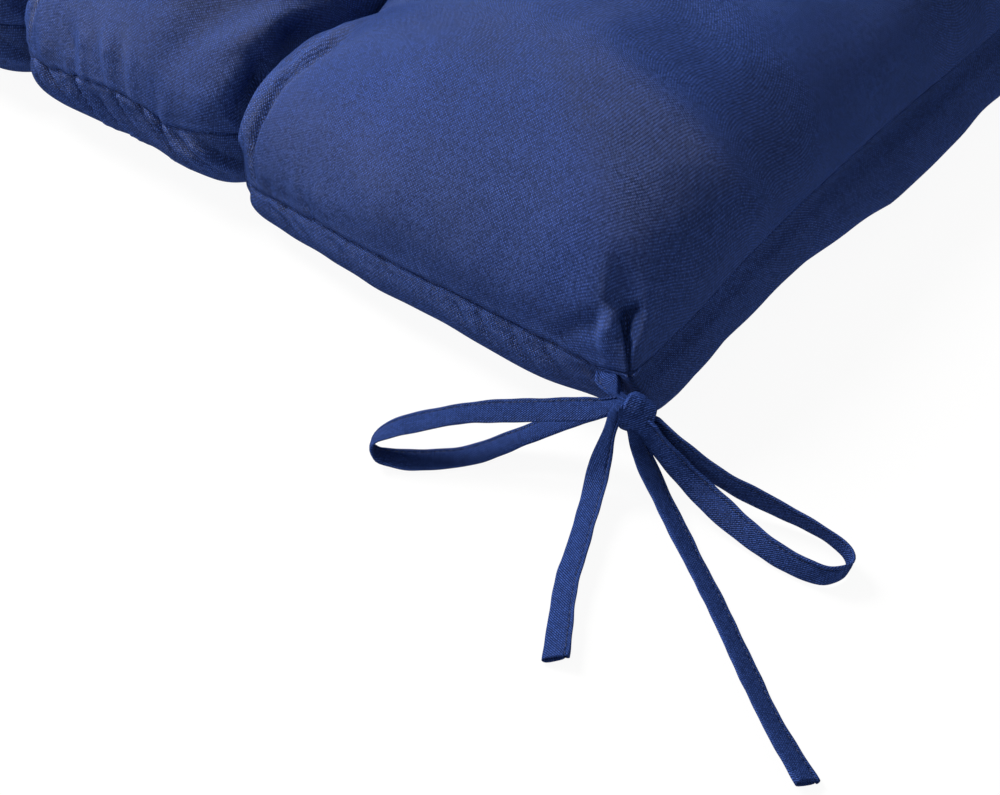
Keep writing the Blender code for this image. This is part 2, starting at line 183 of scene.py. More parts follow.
def wovenCloth(name, look):
    m, add, calc, vector, feed = newMaterial(name)
    y = yarnLook

    def noise(where, scale, detail):
        ins = {"Vector": where, "Scale": scale, "Detail": detail}
        return add("ShaderNodeTexNoise", ins, noise_dimensions="2D").outputs

    def streak(where, scale):
        spread = add("ShaderNodeMapping", {"Vector": where, "Scale": scale}).outputs[0]
        return noise(spread, 1.0, 1.0)[0]

    def varied(value, by, depth, base):
        return calc("MULTIPLY", value, calc("MULTIPLY_ADD", by, depth, base))

    def mixed(share, first, second):
        return add("ShaderNodeMix", {0: share, 2: first, 3: second}, data_type="FLOAT").outputs[0]

    uv = add("ShaderNodeUVMap", uv_map="weave").outputs[0]
    often, detail, far = y["drift"]
    off = vector("SUBTRACT", noise(uv, often, detail)["Color"], (0.5, 0.5, 0.5))
    moved = vector("ADD", uv, vector("SCALE", off, far))
    turned = add("ShaderNodeVectorRotate", {"Vector": moved, "Angle": math.radians(look["turn"])},
                 rotation_type="Z_AXIS").outputs[0]
    parts = add("ShaderNodeSeparateXYZ", {0: turned}).outputs
    su, sv = [calc("SINE", calc("MULTIPLY", parts[k], math.pi / look["pitch"])) for k in (0, 1)]
    over = calc("GREATER_THAN", calc("MULTIPLY", su, sv), 0.0)
    warp = calc("ABSOLUTE", su)
    weft = calc("ABSOLUTE", sv)
    height = mixed(over, varied(weft, warp, y["dip"], 1 - y["dip"]),
                   varied(warp, weft, y["dip"], 1 - y["dip"]))
    height = mixed(look["ribs"], height, warp)
    # every crossing sits a little higher or lower than the next
    cell = vector("SNAP", turned, (look["pitch"],) * 3)
    lot = add("ShaderNodeTexWhiteNoise", {"Vector": cell}, noise_dimensions="2D").outputs[0]
    thin, long = y["streaks"]
    yarn = calc("ADD", streak(turned, (thin, long, 1.0)), streak(turned, (long, thin, 1.0)))
    cloudScale, cloudDetail, cloudDepth = y["cloud"]
    cloud = noise(uv, cloudScale, cloudDetail)[0]
    # the colour's attribute: real wear beside the seams, and painted shade of folds, creases and
    # the ties' stitched groove
    wearAndShade = add("ShaderNodeAttribute", attribute_name="wearAndShade").outputs["Fac"]

    shade = calc("MULTIPLY_ADD", height, look["contrast"], 1 - look["contrast"] * y["middle"])
    for by, depth, base in ((over, look["checker"], 1 - look["checker"] / 2),
                            (yarn, y["streakShade"], 1 - y["streakShade"]),
                            (cloud, cloudDepth, 1 - cloudDepth / 2),
                            (lot, look["uneven"], 1 - look["uneven"] / 2)):
        shade = varied(shade, by, depth, base)
    shade = calc("MAXIMUM", calc("MULTIPLY_ADD", wearAndShade, y["wearAndShadeDepth"], shade), y["darkest"])
    # painted glints: a paler, greyer colour on the thread tops, stronger on folds and weaker in
    # creases
    checker, checkerBase = y["glintChecker"]
    lit = calc("POWER", height, y["glintPower"])
    lit = varied(lit, over, look["checker"] * checker, checkerBase)
    lit = varied(lit, lot, *y["glintUneven"])
    lit = varied(lit, wearAndShade, *y["glintWearAndShade"])
    base = vector("ADD", vector("SCALE", look["colour"], shade),
                  vector("SCALE", look["fleckAndGlint"], lit))
    polish, dull = y["polish"]
    relief = calc("MULTIPLY_ADD", yarn, y["streakRelief"], height)
    relief = varied(relief, lot, *y["reliefUneven"])
    bump = add("ShaderNodeBump", {"Height": relief, "Strength": 1.0, "Distance": look["relief"]})
    feed(Base_Color=base, Normal=bump.outputs[0], IOR=look["bend"],
         Roughness=calc("MULTIPLY_ADD", height, polish, look["roughness"] + dull))
    m.diffuse_color = (*look["colour"], 1.0)
    return m


threadLook = {
    "colour": (0.032, 0.048, 0.125),
    "twist": 2600.0,
    "uneven": (0.8, 0.6),
    "bump": (0.4, 0.0001),
    "roughness": 0.6,
    "shine": 0.35,
    "lengths": (0.88, 1.12),  # threads differ a little in length
    "sides": 6,
    "rings": 5,
}


def threadCloth(name, look):
    m, add, calc, vector, feed = newMaterial(name)
    where = add("ShaderNodeTexCoord").outputs["Object"]
    ins = {"Vector": where, "Scale": look["twist"], "Detail": 1.0}
    twist = add("ShaderNodeTexNoise", ins).outputs[0]
    strength, depth = look["bump"]
    bump = add("ShaderNodeBump", {"Height": twist, "Strength": strength, "Distance": depth})
    feed(Base_Color=vector("SCALE", look["colour"], calc("MULTIPLY_ADD", twist, *look["uneven"])),
         Normal=bump.outputs[0], Roughness=look["roughness"], Specular_IOR_Level=look["shine"])
    m.diffuse_color = (*look["colour"], 1.0)
    return m


fabric = wovenCloth("bench_fabric", fabricLook)
tieFabricShaded = wovenCloth("tie_fabric_painted_shade", tieShadedLook)
thread = threadCloth("sewing_thread", threadLook)
print("materials are in")


def makeMesh(name, points, faces, material, uvs=None, wearAndShade=None):
    # uvs: one pair for each corner of each face, in metres of cloth
    mesh = bpy.data.meshes.new(name)
    mesh.from_pydata([tuple(p) for p in points], [], faces)
    if uvs is not None:
        layer = mesh.uv_layers.new(name="weave")
        layer.data.foreach_set("uv", np.asarray(uvs, dtype=np.float32).ravel())
    if wearAndShade is not None:
        att = mesh.attributes.new("wearAndShade", "FLOAT", "POINT")
        att.data.foreach_set("value", np.asarray(wearAndShade, dtype=np.float32))
    mesh.validate()
    mesh.materials.append(material)
    mesh.shade_smooth()
    made = bpy.data.objects.new(name, mesh)
    scene.collection.objects.link(made)
    return made


def smoothStep(v):
    v = np.clip(v, 0.0, 1.0)
    return v * v * (3 - 2 * v)


def bell(d, w):
    return np.exp(-(d / w) ** 2)


def column(table, value):
    first, second = zip(*table)
    return np.interp(value, first, second)


def cornerPoint(row, side):
    # millimetres along, out and up from the corner at -X (side -1) or +X (side 1)
    along, out, up = row[:3]
    return Vector((side * (benchLength / 2 - along * 0.001), cornerY + out * 0.001, up * 0.001))


# ties
# routes: along, out, up in mm, then the turn and tilt of the stitched edge in degrees
ties = {
    "width": 0.0127,
    "belly": 0.0019,  # thickest part of the folded strip
    # width at the knot and the length over which a strand widens
    "gathers": {"root": (0.0034, 0.0150), "loopLeft": (0.0088, 0.016),
                "loopRight": (0.0098, 0.0040), "tailLeft": (0.0058, 0.026),
                "tailRight": (0.0066, 0.022)},
    "step": 0.0016,
    "stitchIn": 0.0021,  # stitch line in from the edge
    "knotAt": (-7.0, 8.0, 35.0),
    "rootUpper": ((14.4, -2.2, 39.4, 0, -21), (13.2, 0.8, 38.8, 0, -22), (8.2, 4.2, 38, 5, -28),
                  (5, 6.2, 37.2, 15, -32), (2.4, 7.4, 36.4, 20, -35)),
    "rootLower": ((12.6, 0, 37.6, 0, -16), (9.4, 1.6, 36.6, 5, -22),
                  (5.4, 3.8, 35.8, 15, -32)),
    "loopLeft": ((1.8, 11.5, 35.5, -52, 14), (9.2, 18.4, 34, -52, 16),
                 (34, 33, 29.5, -52, 16), (58.2, 48.5, 25, -52, 5),
                 (77.3, 64, 19, -52, 2), (84.5, 70.5, 16, -52, -4),
                 (89.6, 75, 12, -52, -14), (91, 78.4, 8, -52, -24),
                 (88.6, 78.6, 4.6, -52, -16), (83.5, 76.5, 2.8, -54, -6),
                 (70.8, 68.3, 2, -50, 4), (52.6, 50.7, 3, -42, 2),
                 (36.1, 30.4, 10.5, -38, -2), (16, 14.2, 24, -48, 4),
                 (2.6, 9, 31.4, -52, 8)),
    "loopRight": ((-15.4, 11, 33, 186, 56), (-25.6, 12.2, 25.4, 195, 56),
                  (-48.3, 12.9, 13.4, 222, 36), (-70.9, 16.3, 8.6, 224, 48),
                  (-94.6, 19.4, 7, 220, 68), (-113.4, 18, 6.8, 220, 80),
                  (-121, 12.4, 6.8, 200, 78), (-122.6, 5, 6.8, 160, 74),
                  (-116, -1.6, 6.8, 130, 74), (-100, -4.2, 7.4, 100, 76),
                  (-78.2, -1.6, 10.2, 90, 84), (-56.6, 3.4, 15.8, 30, 84),
                  (-34.7, 6.2, 23.6, 0, 75), (-16.4, 7, 31, -10, 68)),
    "tailLeft": ((-4.2, 15.2, 39.6, 200, 40), (-3.4, 19.4, 33, 200, 38),
                 (-4.6, 30, 13.6, 204, 34), (-9, 41.2, 6.6, 204, 32),
                 (-20.3, 67.1, 4.6, 204, 30), (-29.5, 88.4, 4.2, 204, 28),
                 (-50.1, 123.6, 3.6, 208, 24)),
    "tailRight": ((-11.6, 13.8, 28.4, 205, -30), (-18, 16.2, 20.8, 215, -32),
                  (-34.4, 23.6, 10, 230, -30), (-57.4, 37.6, 5.2, 236, -28),
                  (-89, 59, 4.4, 236, -30), (-136.1, 93.2, 4, 234, -28),
                  (-166.5, 111.6, 3.4, 234, -22)),
    "knotRadii": (0.0080, 0.0076, 0.0084),
    "knotPower": 2.6,
    "knotTurn": 38.0,
    "knotGap": 0.0005,
    "crossing": ((0, -0.001, 0.0015), (0, 0.001, -0.0015)),  # where a strand passes in the knot
    "gatherFrom": 0.0085,  # from the knot's middle, where a strand widens
    "paleEdges": (0.46, 0.55),  # from here outward, in widths from the middle, and how pale
    # pale beside the stitches, and painted shade in the stitched groove: from, to and how pale
    "hemTones": ((0.37, 0.46, 0.2), (0.31, 0.36, -1.1)),
    "edgeFrom": 0.3,
    "foldWave": 0.6,  # the folded edge wanders less than the stitched one
    "edgeWave": ((0.00022, 150.0), (0.00014, 390.0)),
    "puff": ((0.14, 95.0), (0.08, 240.0)),  # share of the belly, and how often
    "wrinkle": (0.00010, 520.0, 9.0),
    "mouth": (0.75, 0.008),  # the bare end opens: how much, over what length
    "bundle": (1.2, 0.0075, 0.009),  # thicker near the knot: how much, from, over
    "inside": ((0.0, 0.60), (0.003, 0.52), (0.008, 0.18)),  # depth and thickness of the bare end
    "insideWidth": 0.90,
    "insideHalf": (1.75, 60.0),
    "insideCloth": 0.002,
    "exitZ": 0.045,
    # stitches: first at, every, none nearer to the knot, their depth as a share of half the
    # thickness there, and how much they stand proud of that
    "stitches": (0.004, 0.0031, 0.014, 0.306, 0.00004),
    "stitchSize": (0.0023, 0.00042),
}

# half of the strip's cross-section, from the fold to the stitched edge:
# across in widths, thickness as a share of the belly
stripSection = ((-0.500, 0.0), (-0.490, 0.30), (-0.462, 0.62), (-0.40, 0.88), (-0.28, 1.0),
                (-0.10, 0.97), (0.08, 0.90), (0.20, 0.78), (0.285, 0.56), (0.318, 0.36),
                (0.335, 0.28), (0.352, 0.36), (0.385, 0.62), (0.43, 0.70), (0.470, 0.58),
                (0.492, 0.32), (0.500, 0.0))


def curvePoint(points, k, t):
    a = points[max(k - 1, 0)]
    b = points[k]
    c = points[k + 1]
    d = points[min(k + 2, len(points) - 1)]
    return 0.5 * (2 * b + (c - a) * t + (2 * a - 5 * b + 4 * c - d) * t ** 2
                  + (3 * b - a - 3 * c + d) * t ** 3)


def sideVector(turn, tilt, side):
    turn = math.radians(turn)
    tilt = math.radians(tilt)
    flat = math.cos(tilt)
    return Vector((-side * flat * math.cos(turn), flat * math.sin(turn), math.sin(tilt)))


def knotReach(direction, side):
    turn = math.radians(ties["knotTurn"])
    longWay = Vector((-side * math.cos(turn), math.sin(turn), 0.0))
    shortWay = Vector((side * math.sin(turn), math.cos(turn), 0.0))
    a, b, c = ties["knotRadii"]
    across = math.hypot(direction.dot(shortWay) / b, direction.z / c)
    total = abs(direction.dot(longWay) / a) ** ties["knotPower"] + across ** ties["knotPower"]
    return total ** (-1 / ties["knotPower"])


def tieStations(words, side):
    # centre, side and width at even steps along one whole tie
    root, loop, tail = [ties[w] for w in words]
    middle = cornerPoint(ties["knotAt"], side)

    def atKnot(row):
        d = (cornerPoint(row, side) - middle).normalized()
        return middle + d * (knotReach(d, side) + ties["knotGap"])

    centres = []
    sides = []
    gathers = []

    def put(place, row, word):
        centres.append(place)
        sides.append(sideVector(row[3], row[4], side))
        gathers.append(ties["gathers"][word])

    for row in root:
        put(cornerPoint(row, side), row, "root")
    firstPass, lastPass = [middle + Vector(v) for v in ties["crossing"]]
    put(firstPass, root[-1], words[1])
    put(atKnot(loop[0]), loop[0], words[1])
    for row in loop[1:-1]:
        put(cornerPoint(row, side), row, words[1])
    put(atKnot(loop[-1]), loop[-1], words[1])
    put(lastPass, tail[0], words[2])
    put(atKnot(tail[0]), tail[0], words[2])
    for row in tail[1:]:
        put(cornerPoint(row, side), row, words[2])
    places = []
    acrosses = []
    gather = []
    for k in range(len(centres) - 1):
        steps = max(round((centres[k + 1] - centres[k]).length / ties["step"]), 1)
        for n in range(steps):
            places.append(curvePoint(centres, k, n / steps))
            acrosses.append(curvePoint(sides, k, n / steps))
            gather.append(gathers[k])
    places.append(centres[-1])
    acrosses.append(sides[-1])
    gather.append(gathers[-1])
    frames = []
    last = None
    for k, place in enumerate(places):
        ahead = (places[min(k + 1, len(places) - 1)] - places[max(k - 1, 0)]).normalized()
        across = acrosses[k] - ahead * acrosses[k].dot(ahead)
        if last is not None and across.length < 0.25:  # the strip turns over here
            across = last - ahead * last.dot(ahead)
        across.normalize()
        last = across
        frames.append((place, across, ahead.cross(across)))
    far = [(p - middle).length for p in places]
    widths = []
    for reach, (narrow, length) in zip(far, gather):
        share = float(smoothStep((reach - ties["gatherFrom"]) / length))
        widths.append(narrow + (ties["width"] - narrow) * share)
    travelled = [0.0]
    for k in range(1, len(places)):
        travelled.append(travelled[-1] + (places[k] - places[k - 1]).length)
    return frames, widths, travelled, far


def sectionTone(s):
    # pale on both edges and beside the stitches, and painted shade in the stitched groove
    edge, pale = ties["paleEdges"]
    if abs(s) > edge:
        return pale
    for start, end, value in ties["hemTones"]:
        if start < s < end:
            return value
    return 0.0


def waves(table, along, phases):
    (a, p), (b, q) = table
    return a * math.sin(along * p + phases[0]) + b * math.sin(along * q + phases[1])


def makeTie(name, words, side, seed):
    frames, widths, travelled, far = tieStations(words, side)
    phases = np.random.default_rng(seed).uniform(0, 2 * math.pi, 6)
    total = travelled[-1]
    outline = [(s, t) for s, t in stripSection]
    outline += [(s, -t) for s, t in reversed(stripSection[1:-1])]
    count = len(outline)
    ringUv = [0.0]
    for k in range(count):
        a = outline[k]
        b = outline[(k + 1) % count]
        ringUv.append(ringUv[-1] + math.hypot((b[0] - a[0]) * ties["width"],
                                              (b[1] - a[1]) * ties["belly"] / 2))
    points = []
    uvs = []
    wearAndShade = []
    faces = []
    stitches = []
    opens, mouthLength = ties["mouth"]
    thicker, bundleFrom, bundleOver = ties["bundle"]
    fine, fineOften, fineAcross = ties["wrinkle"]
    rim = ties["edgeFrom"]

    def band(before, now, start, end):
        # one ring of faces between two rings of points, start and end in metres of cloth
        for j in range(count):
            k = (j + 1) % count
            faces.append((before + j, before + k, now + k, now + j))
            u0, u1 = ringUv[j], ringUv[j + 1]
            uvs.extend([(u0, start), (u1, start), (u1, end), (u0, end)])

    for (place, across, face), width, along, reach in zip(frames, widths, travelled, far):
        wave = waves(ties["edgeWave"], along, phases[0:2])
        half = ties["belly"] / 2 * (1 + waves(ties["puff"], along, phases[2:4]))
        half *= 1 + opens * float(smoothStep((mouthLength - total + along) / mouthLength))
        half *= 1 + thicker * (1 - float(smoothStep((reach - bundleFrom) / bundleOver)))
        for s, t in outline:
            edge = wave if s > rim else -wave * ties["foldWave"] if s < -rim else 0.0
            n = t * half
            if s < rim:
                n += fine * math.sin(along * fineOften + s * fineAcross + phases[4]) * (rim - s)
            points.append(place + across * (s * width + edge) + face * n)
            wearAndShade.append(sectionTone(s))
        line = 0.5 - ties["stitchIn"] / ties["width"]
        stitches.append((place + across * (line * width), face, half, along, reach))
    for k in range(len(frames) - 1):
        band(k * count, (k + 1) * count, travelled[k], travelled[k + 1])
    # the sewn end is closed, the far end is open like a sleeve with its inside showing
    faces.append(tuple(range(count))[::-1])
    uvs += [(0.0, 0.0)] * count
    last = (len(frames) - 1) * count
    for depth, scale in ties["inside"]:
        k = len(frames) - 1
        while k > 0 and total - travelled[k] < depth:
            k -= 1
        place, across, face = frames[k]
        start = len(points)
        least, slope = ties["insideHalf"]
        half = ties["belly"] / 2 * (least - slope * depth) * scale
        wide = ties["insideWidth"] * widths[k]
        for s, t in outline:
            points.append(place + across * (s * wide) + face * (t * half))
            wearAndShade.append(0.0)
        band(last, start, total, total + ties["insideCloth"])
        last = start
    faces.append(tuple(range(last, last + count)))
    uvs += [(0.0, 0.0)] * count
    made = makeMesh(name, points, faces, tieFabricShaded, uvs, wearAndShade)
    facing(made)
    return made, [tuple(f[0]) for f in frames], total, stitches


def facing(obj):
    # all faces of a closed piece look outward
    bm = bmesh.new()
    bm.from_mesh(obj.data)
    bmesh.ops.recalc_face_normals(bm, faces=bm.faces)
    if bm.calc_volume(signed=True) < 0:
        bmesh.ops.reverse_faces(bm, faces=bm.faces)
    bm.to_mesh(obj.data)
    bm.free()


# the knot: a band of the same strip, wrapped once round the bundle
knot = {
    "radius": 0.0090,
    "halfWidth": 0.0080,
    "lean": 20.0,  # degrees, of the bundle's line below level as the photo shows it
    "front": (0.72, 0.695),
    "turns": 56,
    "across": 26,
    "above": 0.47,  # where the band is gathered and where it is full, in half turns
    "below": -0.42,
    "spread": 0.8,
    "gathered": 0.30,
    "full": 0.12,
    "shift": (-0.0020, -0.0012, -0.0006),
    "crown": (1.02, 0.20, 0.18, 1.5),  # highest at its outer lip, then it slopes to the bench
    "lip": (0.12, 0.74, 0.28),
    "bands": ((0.0005, 0.90, 0.06), (-0.0005, 0.72, 0.07)),  # hem and stitched groove
    "rib": (0.00022, 7.5, 1.3),
    "uneven": ((0.05, 2, 0.6), (0.03, 3)),
    "pressed": 0.08,
    "strip": (0.0064, 0.052),  # half width and length of its cloth
    "hemTones": (0.84, 0.7),
    "cup": ((0.78, 0.0004), (0.50, 0.0016), (0.16, 0.0020)),
    "cupCloth": 0.002,
}


def knotFrame(side):
    # middle, along the bundle, towards the camera and up
    turn = math.radians(ties["knotTurn"])
    axis = Vector((-side * math.cos(turn), math.sin(turn), 0.0))
    flat, rise = knot["front"]
    front = Vector((side * math.sin(turn) * flat, math.cos(turn) * flat, rise)).normalized()
    up = front.cross(axis).normalized()
    if up.z < 0:
        up = -up
    lean = math.radians(knot["lean"])
    long = (axis * math.cos(lean) + up * math.sin(lean)).normalized()
    high = (up * math.cos(lean) - axis * math.sin(lean)).normalized()
    return cornerPoint(ties["knotAt"], side), long, front, high


def knotRadius(th, s, top):
    # th runs round the bundle, s from -1 to 1 across the band
    high, slope, topSlope, power = knot["crown"]
    lipShare, lipStart, lipRise = knot["lip"]
    q = (1 - s) / 2
    crown = high - (slope + topSlope * top) * max((q - lipShare) / (1 - lipShare), 0) ** power
    if q < lipShare:
        crown = lipStart + lipRise * math.sin(math.pi / 2 * q / lipShare)
    rib, ribOften, ribSway = knot["rib"]
    r = knot["radius"] * crown
    r += rib * math.sin(s * ribOften + ribSway * math.sin(th)) * (1 - abs(s))
    r += sum(height * float(bell(s - at, width)) for height, at, width in knot["bands"])
    (big, bigOften, bigPhase), (small, smallOften) = knot["uneven"]
    r *= 1 + big * math.sin(th * bigOften + bigPhase) + small * math.sin(th * smallOften + s)
    return r * (1 + knot["pressed"] * max(-top, 0))


def knotShare(th, at):
    away = abs(math.remainder(th - math.pi * at, 2 * math.pi))
    return float(bell(away, knot["spread"]))


def makeKnot(name, side):
    middle, long, front, high = knotFrame(side)
    points = []
    uvs = []
    wearAndShade = []
    rows = knot["turns"]
    cols = knot["across"]
    hemFrom, hemTones = knot["hemTones"]
    for i in range(rows):
        th = 2 * math.pi * i / rows  # 0 is the front, a quarter turn is the top
        top = math.sin(th)
        above = knotShare(th, knot["above"])
        below = knotShare(th, knot["below"])
        half = knot["halfWidth"] * (1 - knot["gathered"] * above + knot["full"] * below)
        always, byAbove, byBelow = knot["shift"]
        shift = always + byAbove * above + byBelow * below
        out = front * math.cos(th) + high * math.sin(th)
        for j in range(cols + 1):
            s = -1 + 2 * j / cols
            points.append(middle + long * (s * half + shift) + out * knotRadius(th, s, top))
            wearAndShade.append(hemTones if s > hemFrom else 0.0)
    faces = []
    w = cols + 1
    halfCloth, clothLength = knot["strip"]
    for i in range(rows):
        for j in range(cols):
            a = i * w + j
            b = ((i + 1) % rows) * w + j
            faces.append((a, b, b + 1, a + 1))
            u0, u1 = [(1 - 2 * k / cols) * halfCloth for k in (j, j + 1)]
            v0, v1 = [k / rows * clothLength for k in (i, i + 1)]
            uvs += [(u0, v0), (u0, v1), (u1, v1), (u1, v0)]
    # both ends close inward, as a shallow cup round the bundle
    c = knot["cupCloth"]
    for end, sign in ((0, -1), (cols, 1)):
        ring = [i * w + end for i in range(rows)]
        before = ring
        for scale, inward in knot["cup"]:
            now = list(range(len(points), len(points) + rows))
            for i in range(rows):
                edge = points[ring[i]]
                heart = middle + long * (edge - middle).dot(long)
                points.append(heart + (edge - heart) * scale - long * (sign * inward))
                wearAndShade.append(0.0)
            for i in range(rows):
                k = (i + 1) % rows
                faces.append((before[i], now[i], now[k], before[k]))
                uvs += [(0, 0), (c, 0), (c, c), (0, c)]
            before = now
        faces.append(tuple(before))
        uvs += [(0.0, 0.0)] * rows
    made = makeMesh(name, points, faces, tieFabricShaded, uvs, wearAndShade)
    facing(made)
    return made


# stitches: one short thread at each point of a line, made by a node tree
def stitchTree():
    tree = bpy.data.node_groups.new("stitches", "GeometryNodeTree")
    for label, way, kind, value in (("Geometry", "INPUT", "Geometry", None),
                                    ("Length", "INPUT", "Float", 0.0022),
                                    ("Thickness", "INPUT", "Float", 0.0004),
                                    ("Seed", "INPUT", "Int", 4),
                                    ("Material", "INPUT", "Material", None),
                                    ("Geometry", "OUTPUT", "Geometry", None)):
        socket = tree.interface.new_socket(label, in_out=way, socket_type="NodeSocket" + kind)
        if value is not None:
            socket.default_value = value
    add = nodeMaker(tree)
    start = add("NodeGroupInput").outputs
    ball = add("GeometryNodeMeshUVSphere", {"Segments": threadLook["sides"],
                                            "Rings": threadLook["rings"], "Radius": 0.5})
    along = add("GeometryNodeInputNamedAttribute", {0: "along"}, data_type="FLOAT_VECTOR")
    turn = add("FunctionNodeAlignRotationToVector", {"Vector": along.outputs[0]}, axis="X")
    short, long = threadLook["lengths"]
    vary = add("FunctionNodeRandomValue", {2: short, 3: long, "Seed": start["Seed"]},
               data_type="FLOAT")
    longer = add("ShaderNodeMath", {0: start["Length"], 1: vary.outputs[1]}, operation="MULTIPLY")
    size = add("ShaderNodeCombineXYZ", {0: longer.outputs[0], 1: start["Thickness"],
                                        2: start["Thickness"]})
    put = add("GeometryNodeInstanceOnPoints", {
        "Points": start["Geometry"], "Instance": ball.outputs["Mesh"],
        "Rotation": turn.outputs["Rotation"], "Scale": size.outputs[0]})
    real = add("GeometryNodeRealizeInstances", {0: put.outputs[0]})
    paint = add("GeometryNodeSetMaterial", {"Geometry": real.outputs[0],
                                            "Material": start["Material"]})
    add("NodeGroupOutput", {0: paint.outputs[0]})
    return tree


stitching = stitchTree()


def makeStitches(name, places, directions, length, thickness, seed):
    mesh = bpy.data.meshes.new(name)
    mesh.from_pydata([tuple(p) for p in places], [], [])
    att = mesh.attributes.new("along", "FLOAT_VECTOR", "POINT")
    ways = np.array([tuple(d) for d in directions], dtype=np.float32)
    att.data.foreach_set("vector", ways.ravel())
    made = bpy.data.objects.new(name, mesh)
    scene.collection.objects.link(made)
    mod = made.modifiers.new("stitches", "NODES")
    mod.node_group = stitching
    wanted = {"Length": length, "Thickness": thickness, "Seed": seed, "Material": thread}
    for item in stitching.interface.items_tree:
        if item.in_out == "INPUT" and item.name in wanted:
            mod[item.identifier] = wanted[item.name]
    graph = bpy.context.evaluated_depsgraph_get()
    plain = bpy.data.meshes.new_from_object(made.evaluated_get(graph))
    made.modifiers.remove(mod)
    made.data = plain
    plain.name = name
    plain.shade_smooth()
    return made


def tieStitches(name, stitches, seed):
    places = []
    directions = []
    nextAt, every, clear, sink, proud = ties["stitches"]
    for k in range(1, len(stitches) - 1):
        place, face, half, along, reach = stitches[k]
        if along < nextAt or reach < clear:
            continue
        nextAt = along + every
        ahead = (stitches[k + 1][0] - stitches[k - 1][0]).normalized()
        for sign in (1, -1):
            places.append(place + face * (sign * (sink * half + proud)))
            directions.append(ahead)
    return makeStitches(name, places, directions, *ties["stitchSize"], seed)


# name, routes and seed of each strand, and the solids that it replaces
strands = (
    ("_left", ("rootUpper", "loopLeft", "tailLeft"), 11,
     ("_root_upper", "_loop_left", "_tail_left")),
    ("_right", ("rootLower", "loopRight", "tailRight"), 12,
     ("_root_lower", "_loop_right", "_tail_right")),
)
for label, side in (("tie_a", -1), ("tie_b", 1)):
    wrap = makeKnot(label + "_knot_wrap", side)
    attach(wrap, "root")
    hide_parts(label + "_knot")
    made = [makeTie(label + word, words, side, seed) for word, words, seed, nodes in strands]
    for (word, words, seed, nodes), (tie, path, total, stitches) in zip(strands, made):
        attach(tie, "root")
        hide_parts(*[label + n for n in nodes])
        sewn = tieStitches(label + word + "_stitches", stitches, 5)
        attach(sewn, "root")
        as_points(path)
        print(tie.name, "is", round(total, 4), "m long")
print("ties are in")

# the cushion: the same numbers as the solid's, then those of the cloth, in metres
cushion = {
    "pitch": 0.1655,
    "channels": 5,
    "tuftInset": 0.112,
    "tuftTop": 0.052,
    "tuftBottom": 0.026,
    "tuftReach": 0.038,
    "channelMiddle": 0.086,
    "channelOuter": 0.078,
    "channelUnder": 0.012,
    "notch": (0.016, 0.010, 1.4),  # depth, width, sharpness
    "notchReach": 0.070,
    "crowns": (0.125, 0.118, 0.121, 0.117, 0.120, 0.124),
    "endSeam": ((0.0, 0.045), (0.020, 0.037), (0.046, 0.038), (0.110, 0.037),
                (0.200, 0.033), (0.240, 0.030), (0.256, 0.029), (0.266, 0.047)),
    "innerSeam": ((0.0, 0.047), (0.010, 0.049), (0.024, 0.047), (0.042, 0.043), (0.057, 0.048),
                  (0.080, 0.049), (0.110, 0.045), (0.133, 0.041), (0.150, 0.042), (0.1655, 0.047)),
    "shortSeam": ((0.0, 0.045), (0.020, 0.041), (0.060, 0.042), (0.100, 0.048),
                  (0.150, 0.051), (0.235, 0.050), (0.300, 0.046), (0.360, 0.042), (0.470, 0.045)),
    "topLongRoll": 0.090,
    "topEndRoll": 0.120,
    "bottomRoll": 0.042,
    "channelRoll": 0.130,
    "flatness": 1.3,
    "bottomChannelRoll": 0.045,
    "fullness": 3.0,
    "topSwell": 0.003,
    "bottomLongSwell": 0.011,
    "bottomInnerSwell": 0.005,
    "bottomCornerSwell": 0.006,
    "bottomEndSwell": ((0.0, 0.023), (0.010, 0.022), (0.020, 0.0215), (0.032, 0.0205),
                       (0.045, 0.0185), (0.075, 0.0170), (0.150, 0.018), (0.220, 0.028),
                       (0.400, 0.027), (0.450, 0.022), (0.470, 0.020)),
    "waist": 0.006,
    "ear": 0.003,
    "cornerReach": 0.050,
    "earSharp": 16,
    "swellFrom": 0.2,
    "pinch": (0.009, 0.022, 0.013, 0.008),  # depth, place, length, width
    # the sewn line and the cloth beside it: height, place, width, how much less at the ends
    "seamLine": ((-0.0010, 0.0, 0.0006, 0.2), (0.0004, 0.003, 0.002, 0.6)),
    "seamEnds": 0.004,
    "seamPale": (0.35, 0.004, 0.0022),
    "lumps": ((0.16, 0.0011), (0.09, 0.0008), (0.05, 0.00045), (0.028, 0.0002)),
    "lumpWaves": 5,
    "lumpSeed": 5,
    "lumpsFrom": 0.02,
    "benchReach": 0.012,  # cloth this near to the bench lies flat on it
    # painted shade: a fold this high is paler by 1, a crease this deep darker by 1, and the limits
    # of that shade on both panels
    "foldShade": 0.0030,
    "topShade": (-0.12, 0.5),
    "bottomShade": (-1.1, 0.8),
    "clothApart": 1.2,  # the bottom panel's weave starts elsewhere
    "tackTurns": (0.35, 1.3, 2.3),
    "tackSize": (0.008, 0.0011),
    "tackLift": 0.0008,
}
halfL = benchLength / 2
halfD = benchDepth / 2
channelXs = np.array([(k - (cushion["channels"] - 1) / 2) * cushion["pitch"]
                      for k in range(cushion["channels"])])
outerX = channelXs[-1]


def rollHeight(d, r):
    across = 1 - np.clip(d / r, 0, 1)
    return np.sqrt(np.maximum(1 - across * across, 0))


def rollBulge(rise):
    return 2 * rise * np.sqrt(np.maximum(1 - rise * rise, 0))


def channelDistance(x):
    return np.min(np.abs(x[..., None] - channelXs), axis=-1)


def innerShare(x):
    return smoothStep((halfL - np.abs(x)) / (halfL - outerX) * 2 - 1)


